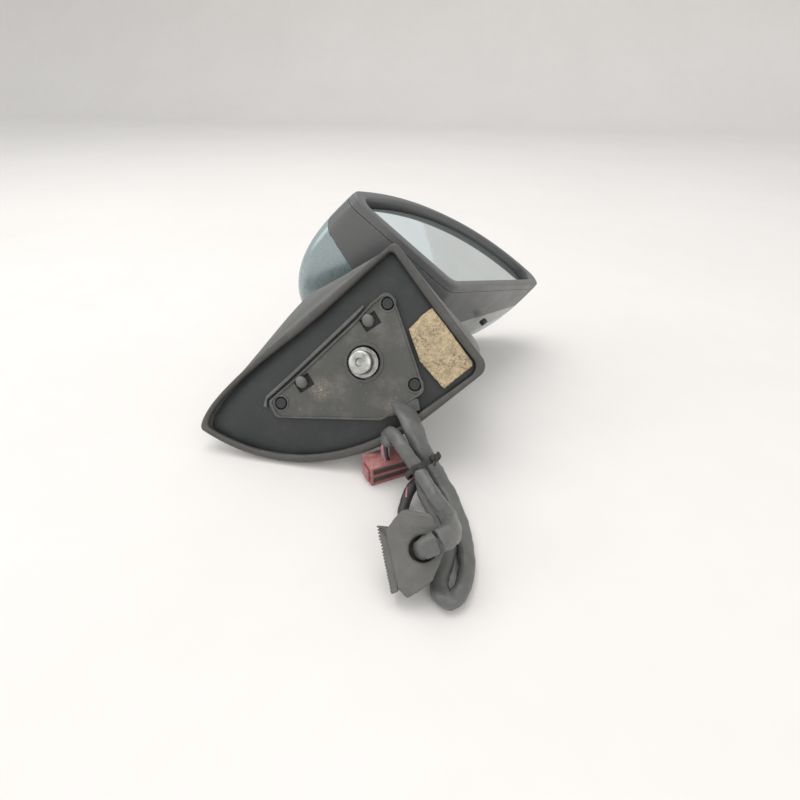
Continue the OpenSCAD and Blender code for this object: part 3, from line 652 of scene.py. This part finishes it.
def buildPlate():
    s = plate
    line = outline(s["corners"], 9, 3)
    holes = [disc(s["studHole"], count=64)] + [disc(s["pinHole"], *p) for p in s["pins"]]
    wide, high = s["pegHole"]
    for x, y in s["pegs"]:
        holes.append([Vector((x, y)) + Matrix.Rotation(math.radians(s["pegTurn"]), 2) @ Vector(c)
                      for c in ((-wide, -high), (wide, -high), (wide, high), (-wide, high))])
    body = slab("plateBody", [line] + holes, -s["panel"], -s["front"], doorFrame, 0.35)
    inset = scaled(line, (-8, -4), 1 - s["rimWide"] / 60, 1 - s["rimWide"] / 36)
    low = -s["front"] - s["seat"]  # the raised rings start inside the body
    rim = slab("plateRim", [line, inset], low, s["rimHigh"] - s["front"], doorFrame, 0.5)
    collarRing = slab("plateCollar", [disc(r, count=64) for r in s["collar"]], low,
                      s["collarHigh"] - s["front"], doorFrame, 0.3)
    rings = [slab(f"pinRing{i}", [disc(r, *p) for r in s["pinRing"]], low, s["pinRingHigh"] - s["front"],
                  doorFrame, 0.2) for i, p in enumerate(s["pins"])]
    return settle(joined("mounting_plate_face", [body, rim, collarRing] + rings), "mounting_plate")


# turned pieces: radius and height up the profile
pinProfile = [(0, -6.2), (3.9, -6.2), (3.9, -3.1), (3.5, -2.7), (2.2, -2.6), (1.9, -2.9), (0, -2.9)]
peg = {"foot": [(0, -6.2), (3, -6.2), (3, -4.2)], "ball": 4.3, "ballAt": -1.2, "top": (0, 3.1), "aside": -1.5,
       "lean": (0.24, 0.3, 0), "leanFrom": -5}
studProfile = [(0, -12.5), (6, -12.5), (6, -6.2), (11.3, -6.2), (11.3, -2.4), (10.9, -1.8), (10.2, -1.7),
               (9.4, -1.9), (8.9, -1.8), (8.5, -1.2), (8.5, 6.6), (8.3, 7.3), (7.6, 7.9), (6.2, 8.35),
               (4.3, 8.6), (3.4, 8.6), (3.0, 8.2), (2.6, 6.2), (0, 5.6)]


def buildPins():
    discs = [lathe(f"pin{i}", pinProfile, doorFrame @ Matrix.Translation((x, y, 0)))
             for i, (x, y) in enumerate(plate["pins"])]
    return settle(joined("plate_discs", discs), "plate_pins")


def buildPegs():
    s = peg
    ball = [(s["ball"] * math.cos(math.radians(a)), s["ballAt"] + s["ball"] * math.sin(math.radians(a)))
            for a in range(-45, 90, 9)]
    profile = s["foot"] + ball + [s["top"]]
    pegs = [lathe(f"peg{i}", profile, doorFrame @ Matrix.Translation((x + s["aside"], y, 0)))
            for i, (x, y) in enumerate(plate["pegs"])]
    lean = doorFrame.to_3x3() @ Vector(s["lean"])
    for piece in pegs:  # the worn pegs lean up
        for v in piece.data.vertices:
            v.co += lean * max(0, (doorFrame.inverted() @ v.co).z - s["leanFrom"])
    return settle(joined("ball_pegs", pegs), "locating_pegs")


def buildStud():
    return settle(roughened(lathe("stud", studProfile, doorFrame, 72), 0.1, 300), "mounting_stud")


foamPad = {
    "corners": [(62.4, 0.5, 0), (53, 0.5, 0), (40.5, -1.5, 0), (33.5, -24, 0), (35.5, -49.5, 0), (61, -48.5, 0),
                (62.4, -46, 0)],
    "low": -6.2, "high": -1.2, "cell": 0.6,
}


def buildFoam():
    s = foamPad
    pad = slab("foam_block", [outline(s["corners"])], s["low"], s["high"], doorFrame, 0.3, 1)
    pad.modifiers.new("even", "REMESH").voxel_size = s["cell"] * mm
    shaded(applied(pad), 179)
    roughened(roughened(pad, 0.4, 520), 0.35, 130, 7)
    settle(pad, "foam_pad")
    return pad


buildPlate()
buildPins()
buildPegs()
buildStud()
buildFoam()
for nodeName, width in (("edge_strip", 0.5), ("cable_gland", 0.6), ("recess_panel", 0.3), ("pivot_seat", 0.6),
                        ("head_foot", 0.6)):
    softened(nodeName, width)
print("mirror: foot built")

# the head: x and y across the opening, depth behind it, in mm
# the mouth, its wall and the glass pieces are the head's outline drawn in by two shares
head = {"depth": 121, "mid": (48, 34), "openingMid": (47.3, 35.2), "front": (27, 26), "wall": 2.4, "bezel": 7,
        "coverFrom": 12, "coverLong": 152, "coverEnd": 86, "gap": 0.5, "rimRound": 2.2,
        "mouth": (0.91, 0.87), "mouthWall": (0.92, 0.887), "mouthDepth": 17,
        "corners": ((-60, 93, 9), (169, -24, 8), (-9, -1, 14)),
        "topBend": ((-46, 92.5), (50, 93), (130, 50), (167, -10)), "topSteps": 40,
        "pivotCut": [(0, -1), (19.7, -1), (19.7, 12), (0, 12)]}


def headEdge():
    top, tip, heel = head["corners"]
    corners = [top]
    for k in range(1, head["topSteps"] + 1):
        p = bezier(*head["topBend"], k / head["topSteps"])
        corners.append((p.x, p.y, 0))
    return outline(corners + [tip, heel], 7.5, 3)


headLine = headEdge()
headMid = Vector(head["mid"])
openingMid = Vector(head["openingMid"])


def skin(p, w, t=0.0):
    # the point of the skin under an outline point, w behind the opening and t in from the outside
    depth = head["depth"]
    o = p - headMid
    shift = (w / depth) ** 1.6
    centre = headMid.lerp(Vector(head["front"]), shift)
    q = (w / depth) ** 3
    side = math.sqrt(max(0, 1 - q * q))
    size = max(0, 1 - q) ** (1 / 3) * (1 + 0.05 * math.sin(math.pi * w / depth)) - t * side / o.length
    return (centre.x + o.x * size, centre.y + o.y * size, t * q - w)


def bezelW(p):
    return head["bezel"]


def jointW(p):  # slanting line where the housing ends
    return max(head["bezel"] + 5, min(64, 60.6 - 0.2575 * p.x - 0.522 * p.y))


def coverShare(p):
    start = head["coverFrom"]
    if p.y > start or p.x < start:
        return 0
    return math.sin(math.pi * min(1, max(0, (p.x - start) / head["coverLong"])) ** 0.8)


def coverW(p):
    return blend(jointW(p), head["coverEnd"], coverShare(p))


def coverStart(p):
    return jointW(p) + head["gap"]


def capStart(p):
    return coverW(p) + head["gap"]


def capEnd(p):
    return head["depth"]


def skinRow(start, end, k, t=0.0, line=None):
    return [skin(p, blend(start(p), end(p), k), t) for p in (line or headLine)]


def openingLine(kx, ky):
    return [openingMid + Vector(((p.x - headMid.x) * kx, (p.y - headMid.y) * ky)) for p in headLine]


def buildBezel():
    s = head
    rows = [[skin(p, s["bezel"] - s["gap"]) for p in headLine], [skin(p, 4) for p in headLine]]
    radius = s["rimRound"]
    for a in range(0, 91, 15):  # rounded outer edge
        c, d = math.cos(math.radians(a)), math.sin(math.radians(a))
        rows.append([(*skin(p, 0, radius * (1 - c))[:2], -radius * (1 - d)) for p in headLine])
    face = [Vector(skin(p, 0, radius)[:2]) for p in headLine]
    mouth, wall = openingLine(*s["mouth"]), openingLine(*s["mouthWall"])
    for share, z in ((0.35, 0.02), (0.7, -0.1), (0.9, -0.3), (0.97, -0.6), (1.0, -1.3)):
        rows.append([(*f.lerp(m, share), z) for f, m in zip(face, mouth)])
    rows += [[(*m, -z) for m in mouth] for z in (4, 9, 13, s["mouthDepth"])]
    rows += [[(*w, -s["mouthDepth"]) for w in wall], [(*w, -5) for w in wall]]
    rows.append([skin(p, s["bezel"] - s["gap"], s["wall"]) for p in headLine])
    points, faces = loft(rows, wrap=True)
    return settle(fromMesh("bezel_rim", points, faces, headFrame, 45), "bezel")


def buildHousing():
    steps = [k / 16 for k in range(17)]
    outer = [skinRow(bezelW, jointW, k) for k in steps]
    inner = [skinRow(bezelW, jointW, k, head["wall"]) for k in steps]
    points, faces = loft(outer[::-1] + inner, wrap=True)
    shell = fromMesh("housing_shell", points, faces, headFrame, 50)
    cutter = lathe("pivotCut", head["pivotCut"], pivotFrame, 64)
    cut = shell.modifiers.new("pivot", "BOOLEAN")
    cut.object, cut.operation, cut.solver = cutter, "DIFFERENCE", "EXACT"
    applied(shell)
    bpy.data.objects.remove(cutter)
    return settle(shell, "rear_housing")


def buildCap():
    s = head
    steps = [math.sin(math.pi / 2 * k / 34) for k in range(34)]  # closer together towards the crown
    outer = [skinRow(capStart, capEnd, k) for k in steps]
    inner = [skinRow(capStart, capEnd, k, s["wall"]) for k in steps]
    points, faces = loft(outer[::-1] + inner, caps=((*s["front"], -s["depth"]), (*s["front"], s["wall"] - s["depth"])))
    return settle(fromMesh("cap_shell", points, faces, headFrame, 60), "painted_cap")


def buildCover():
    line = [p for p in headLine if coverShare(p) > 0.02]
    steps = [k / 12 for k in range(13)]
    outer = [skinRow(coverStart, coverW, k, 0, line) for k in steps]
    inner = [skinRow(coverStart, coverW, k, head["wall"], line) for k in steps]
    rows = [o + i[::-1] for o, i in zip(outer, inner)]
    count = len(rows[0])
    points, faces = loft(rows)
    faces += [tuple(range(count)), tuple(range((len(rows) - 1) * count, len(rows) * count))]
    return settle(fromMesh("cover_panel", points, faces, headFrame, 40), "lower_cover")


glass = {"behind": 7, "thick": 2.2, "edge": (0.853, 0.79), "face": (0.85, 0.787), "dome": 0.25,
         "backing": (0.872, 0.81), "pocket": (0.856, 0.793), "backingFrom": 3.1, "backingTo": 0.4}


def buildGlass():
    # slightly domed silvered plate
    s = glass
    face = -s["behind"]
    (kx, ky), edge = s["face"], openingLine(*s["edge"])
    rows = [[(*p, face - s["thick"]) for p in edge], [(*p, face - 0.3) for p in edge],
            [(*p, face - 0.05) for p in openingLine(kx, ky)]]
    for k in (0.95, 0.85, 0.7, 0.5, 0.3, 0.12):
        rows.append([(*p, face + s["dome"] * (1 - k * k)) for p in openingLine(kx * k, ky * k)])
    points, faces = loft(rows, caps=((*openingMid, face - s["thick"]), (*openingMid, face + s["dome"])))
    return settle(fromMesh("glass_plate", points, faces, headFrame, 40), "mirror_glass")


def buildBackingRim():
    s = glass
    rim = slab("backingRim", [openingLine(*s["backing"]), openingLine(*s["pocket"])],
               -s["behind"] - s["backingFrom"], -s["behind"] - s["backingTo"], headFrame, 0.3)
    return settle(rim, "glass_backing", standsFor=False)


buildBezel()
buildHousing()
buildCap()
buildCover()
buildGlass()
buildBackingRim()
softened("temperature_sensor", 0.8, 3)
print("mirror: head built")

# the harness on the table, in mm: each section is share of the way along, half width, half thickness
trunk = {
    "route": [(31.5, -104.5, 46.6), (35, -110.5, 46), (40, -119, 45), (46, -128, 40), (51, -132, 32), (57, -135, 24),
              (63, -138, 16), (70, -144, 10), (78, -156, 7), (85, -172, 6), (90, -189, 6), (93, -204, 6), (93, -217, 6),
              (91, -226, 6), (86, -230, 6), (81, -226, 6), (79, -216, 6), (80, -205, 6), (80, -194, 6.5),
              (78, -184, 8), (73, -175, 10), (67, -167, 12), (61, -159, 14), (57, -152, 16), (54, -145, 18)],
    "sections": [(0, 8.4, 3), (0.04, 8, 3.6), (0.1, 7.6, 4.6), (0.2, 6.6, 4.6), (0.36, 5.4, 4.4), (0.55, 4.8, 4.2),
                 (0.75, 5.6, 4.4), (0.92, 6, 4.4), (1, 4.8, 3.8)],
    "aside": (0.2, 0.1, 1), "wrinkle": 0.7, "width": 0.011,
}
branch = {
    "route": [(26, -130, 15), (25, -129, 22), (26, -128, 30), (31, -129, 36), (39, -138, 35), (46, -144, 30),
              (53, -149, 25), (61, -160, 23), (69, -172, 23), (76, -183, 25), (81, -193, 28), (83, -204, 32),
              (81, -214, 36), (77.5, -220.5, 38.5), (73, -222, 36), (70, -219.5, 31), (68.4, -214.6, 24.5)],
    "sections": [(0, 1.7, 1.7), (0.075, 1.8, 1.8), (0.082, 5.4, 3.8), (0.12, 6.6, 4.4), (0.25, 7.6, 4.4),
                 (0.5, 7, 4.7), (0.8, 6.8, 4.8), (1, 5.2, 5.2)],
    "aside": (1, 0.8, 0.3), "wrinkle": 0.8, "width": 0.012,
}
lead = {
    "route": [(53, -146, 16), (50, -151, 13), (48, -156, 10), (47, -162, 7), (47, -169, 5), (49, -176, 4.5),
              (53, -184, 5), (58, -193, 8), (63, -201, 13), (67, -209, 20)],
    "sections": [(0, 3, 3), (0.1, 3.6, 3.6), (1, 3.6, 3.6)], "aside": (0.2, 0.1, 1), "wrinkle": 0.4, "width": 0.007,
}


def smoothRoute(route, pieces=5):
    points = [Vector(p) for p in route]
    full = []
    for i in range(len(points) - 1):
        a, b, c, d = points[max(i - 1, 0)], points[i], points[i + 1], points[min(i + 2, len(points) - 1)]
        full += [between(a, b, c, d, k / pieces) for k in range(pieces)]
    return full + [points[-1]]


def sectionAt(sections, share):
    for (s0, w0, t0), (s1, w1, t1) in zip(sections, sections[1:]):
        if share <= s1:
            k = (share - s0) / (s1 - s0)
            k = k * k * (3 - 2 * k)
            return blend(w0, w1, k), blend(t0, t1, k)
    return sections[-1][1:]


def strandFrames(s, pieces):
    # centre, two side directions, bend and distance travelled at each ring
    path = smoothRoute(s["route"], pieces)
    last = len(path) - 1
    travelled = 0.0
    frames = []
    for i, p in enumerate(path):
        before, after = path[max(i - 1, 0)], path[min(i + 1, last)]
        along = (after - before).normalized()
        travelled += (p - before).length
        u = along.cross(Vector(s["aside"])).normalized()
        bend = ((after - p).normalized() - (p - before).normalized()) if 0 < i < last else Vector()
        frames.append((p, u, u.cross(along), bend, travelled))
    return frames


def buildStrand(name, s, sides=24, pieces=5):
    # soft flattened tube with creases that gather inside its bends
    frames = strandFrames(s, pieces)
    whole = frames[-1][4]
    rows = []
    for p, u, v, bend, travelled in frames:
        wide, thick = sectionAt(s["sections"], travelled / whole)
        row = []
        for k in range(sides):
            a = 2 * math.pi * k / sides
            c, d = math.cos(a), math.sin(a)
            side = u * math.copysign(abs(c) ** 0.8, c) * wide + v * math.copysign(abs(d) ** 0.8, d) * thick
            out = side.normalized()
            crease = noise.noise(Vector((travelled * 0.16, a * 1.1, 3 * wide))) * s["wrinkle"]
            fine = noise.noise(Vector((travelled * 0.55, a * 1.7, 20))) * s["wrinkle"] * 0.45
            ridge = math.sin(travelled * 1.7 + 2 * math.sin(a)) * 2.2 * max(0, bend.dot(out))
            row.append(p + side + out * ((crease + fine + ridge) * thick / 4.5))
        rows.append(row)
    points, faces = loft(rows, caps=(frames[0][0], frames[-1][0]))
    return fromMesh(name, points, faces, tableFrame, 70), [f[0] * mm for f in frames]


wireColours = {"wireRed": (0.3, 0.03, 0.03), "wireWhite": (0.62, 0.6, 0.56), "wireBlack": (0.02, 0.02, 0.02),
               "wirePink": (0.55, 0.2, 0.26), "wireGrey": (0.25, 0.25, 0.25)}


def buildWires(name, s, names, first, last, offset, radius, twist):
    # thin wires laid round the first part of a strand
    frames = strandFrames(s, 5)[first:last]
    pieces = []
    for i, wireName in enumerate(names):
        line = []
        for p, u, v, _, travelled in frames:
            a = 2 * math.pi * i / len(names) + twist * travelled
            line.append(p + offset * (u * math.cos(a) + v * math.sin(a)))
        rows = []
        for j, p in enumerate(line):
            along = (line[min(j + 1, len(line) - 1)] - line[max(j - 1, 0)]).normalized()
            u = along.cross(Vector(s["aside"])).normalized()
            v = u.cross(along)
            rows.append([p + radius * (u * math.cos(a) + v * math.sin(a))
                         for a in (math.pi * k / 5 for k in range(10))])
        points, faces = loft(rows, caps=(line[0], line[-1]))
        wire = fromMesh(name + wireName, points, faces, tableFrame, 70)
        wire.data.materials.append(finish(name + wireName, wireColours[wireName], 0.4, mottle=0.05))
        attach(wire, "foot")
        pieces.append(wire)
    return pieces


tie = {"at": (54.5, -142, 23), "tilt": -55, "turn": 53, "wide": 1.9, "thick": 1.1, "mid": (0, -2),
       "corners": [(-13, -12.5, 6), (12.5, -12.5, 6), (12.5, 9, 6), (-13, 9, 6)],
       "knotAt": (3, -12.4, 0), "knot": [(0, -2.6), (1.6, -2.1), (2.7, -0.8), (2.9, 0.6), (2, 2), (0, 2.6)],
       "tailsAt": (3, -12.6, 0), "tails": ((-3.4, -4.6), (4.6, 1.6))}
tieFrame = tableFrame @ Matrix.Translation(tie["at"]) @ turned(tie["turn"], "Z") @ turned(tie["tilt"], "X")


def buildTie():
    # wound band with a knot and two short tails
    s = tie
    line = outline(s["corners"], 9, 2)
    rows = []
    for i, p in enumerate(line):
        inward = (Vector(s["mid"]) - p).normalized()
        sway = 0.8 * math.sin(i * 0.35) + 0.5 * noise.noise(Vector((i * 0.3, 0, 0)))
        grow = 1 + 0.25 * noise.noise(Vector((i * 0.45, 5, 0)))
        ring = []
        for k in range(10):
            a = 2 * math.pi * k / 10
            q = p + inward * (s["thick"] * 0.5 * math.cos(a) * grow + 0.6)
            ring.append((q.x, q.y, sway + s["wide"] * grow * math.sin(a)))
        rows.append(ring)
    points, faces = loft(rows, wrap=True)
    band = fromMesh("tieBand", points, faces, tieFrame, 60)
    knot = lathe("tieKnot", s["knot"], tieFrame @ Matrix.Translation(s["knotAt"]), 20)
    roughened(knot, 1.6, 420)
    tails = []
    start = Vector(s["tailsAt"])
    for i, (dx, dz) in enumerate(s["tails"]):
        ends = [start, start + Vector((dx * 0.5, -1.6, dz * 0.5)), start + Vector((dx, -1.2, dz))]
        ring = [[q + Vector((1.1 * math.cos(a), 0.35 * math.sin(a), 0.7 * math.sin(a)))
                 for a in (math.pi * k / 4 for k in range(8))] for q in ends]
        points, faces = loft(ring, caps=(ends[0], ends[-1]))
        tails.append(fromMesh(f"tieTail{i}", points, faces, tieFrame, 60))
    return settle(joined("tie_band", [band, knot] + tails), "cable_tie")


grommet = {
    "at": (69, -218.5, 29), "tilt": 48, "turn": 8, "thick": 13, "hole": 7.3,
    "corners": [(-13, 20.5, 5), (4, 18.5, 4), (13.5, 2.5, 5), (6.5, -16, 4), (-7, -27, 2), (-12, -22, 2),
                (-21, 8.5, 3)],
    "floor": [(0, -12.4), (7.8, -12.4), (7.8, -9.6), (6.4, -9.4), (0, -9.2)],
    "combTop": (-26, 10.5), "combBottom": (-15.8, -25), "combRoot": ((-12.2, -23.4), (-16, 0), (-20.6, 10.3)),
    "combDepth": (-10, -1.4), "teeth": 21,
}
grommetFrame = (tableFrame @ Matrix.Translation(grommet["at"]) @ turned(grommet["turn"], "Z")
                @ turned(grommet["tilt"], "X"))


def buildGrommet():
    s = grommet
    line = outline(s["corners"], 12, 1.2)
    body = slab("grommetBody", [line, disc(s["hole"], count=48)], -s["thick"], 0, grommetFrame, 1.4, 4)
    floor = lathe("grommetFloor", s["floor"], grommetFrame, 40)
    block = joined("grommet_block", [body, floor])
    roughened(roughened(block, 0.7, 90), 0.3, 480, 3)
    settle(block, "door_grommet")
    # fine comb along the flange's free edge
    top, bottom = Vector(s["combTop"]), Vector(s["combBottom"])
    inward = Vector((top.y - bottom.y, bottom.x - top.x)).normalized()
    edge = []
    for k in range(s["teeth"]):
        deep = 0.9 + 0.5 * noise.noise(Vector((k * 0.7, 2, 0)))
        for share, cut in ((0.0, 0.0), (0.5, 0.1), (0.58, deep), (0.95, deep)):
            edge.append(top.lerp(bottom, (k + share) / s["teeth"]) + inward * cut)
    comb = edge + [bottom] + [Vector(p) for p in s["combRoot"]]
    flange = slab("grommet_comb", [comb], *s["combDepth"], grommetFrame, 0.0, 0)
    settle(roughened(flange, 0.35, 260), "grommet_flange")
    return block, flange


def buildHarness():
    trunkPiece, trunkPath = buildStrand("trunk_sleeve", trunk)
    branchPiece, branchPath = buildStrand("branch_sleeve_soft", branch)
    leadPiece, leadPath = buildStrand("taped_lead", lead, 16)
    settle(trunkPiece, "harness_sleeve")
    settle(branchPiece, "branch_sleeve")
    settle(leadPiece, "thin_lead")
    band = buildTie()
    block, flange = buildGrommet()
    shell, lock = softened("connector_shell", 0.35), softened("connector_lock", 0.3)
    plugWires = buildWires("plug", branch, list(wireColours), 0, 13, 2.3, 0.85, 0.05)
    leadWires = buildWires("lead", lead, ["wirePink", "wireWhite"], 2, 14, 3.2, 0.7, 0.09)


buildHarness()
print("mirror: harness built")

# floor, backdrop and light, in metres
stage = {"width": 9, "front": -3, "back": 3.2, "high": 1.15, "bend": 0.6, "colour": (0.78, 0.755, 0.74),
         "sky": (0.9, 0.91, 0.9, 1), "skyStrength": 0.85}
lights = {
    "keyLight": {"place": (-0.55, 0.35, 1.9), "size": 1.8, "power": 20, "colour": (1, 0.99, 0.97)},
    "fillLight": {"place": (1.0, -1.5, 1.2), "size": 1.4, "power": 9, "colour": (1, 0.99, 0.97)},
    "sideLight": {"place": (-1.6, -0.9, 0.9), "size": 1.0, "power": 5, "colour": (0.97, 0.98, 1)},
}
lightTarget = Vector((0, -0.05, 0.05))


def buildStage(s):
    mat, tree, shader = newMaterial("paleSweep")
    tone = placeGroup(tree, "toneMottle", Scale=3, Amount=0.02)
    tree.links.new(mixColour(tree, 1.0, s["colour"], tone, "MULTIPLY"), shader.inputs["Base Color"])
    shader.inputs["Roughness"].default_value = 0.7
    profile = [(s["front"], 0), (s["back"] - s["bend"], 0)]
    profile += [(s["back"] - s["bend"] + s["bend"] * math.sin(a), s["bend"] * (1 - math.cos(a)))
                for a in (math.pi / 2 * k / 12 for k in range(1, 13))]
    profile.append((s["back"], s["high"]))
    rows = [[(-s["width"] / 2, y, z), (s["width"] / 2, y, z)] for y, z in profile]
    points, faces = loft(rows, closed=False)
    sweep = fromMesh("paleSweepFloor", points, faces, Matrix.Identity(4), 60)
    sweep.data.materials.append(mat)


def addLight(name, s):
    data = bpy.data.lights.new(name, "AREA")
    data.shape, data.size, data.energy, data.color = "SQUARE", s["size"], s["power"], s["colour"]
    light = linked(name, data)
    light.location = s["place"]
    light.rotation_euler = (lightTarget - Vector(s["place"])).to_track_quat("-Z", "Y").to_euler()


def setWorld(s):
    world = bpy.data.worlds.new("studioSky")
    bpy.context.scene.world = world
    world.use_nodes = True
    background = world.node_tree.nodes["Background"]
    background.inputs["Color"].default_value = s["sky"]
    background.inputs["Strength"].default_value = s["skyStrength"]


buildStage(stage)
setWorld(stage)
for lightName, settings in lights.items():
    addLight(lightName, settings)
bpy.context.scene.view_settings.view_transform = "Standard"
print("mirror: stage set")
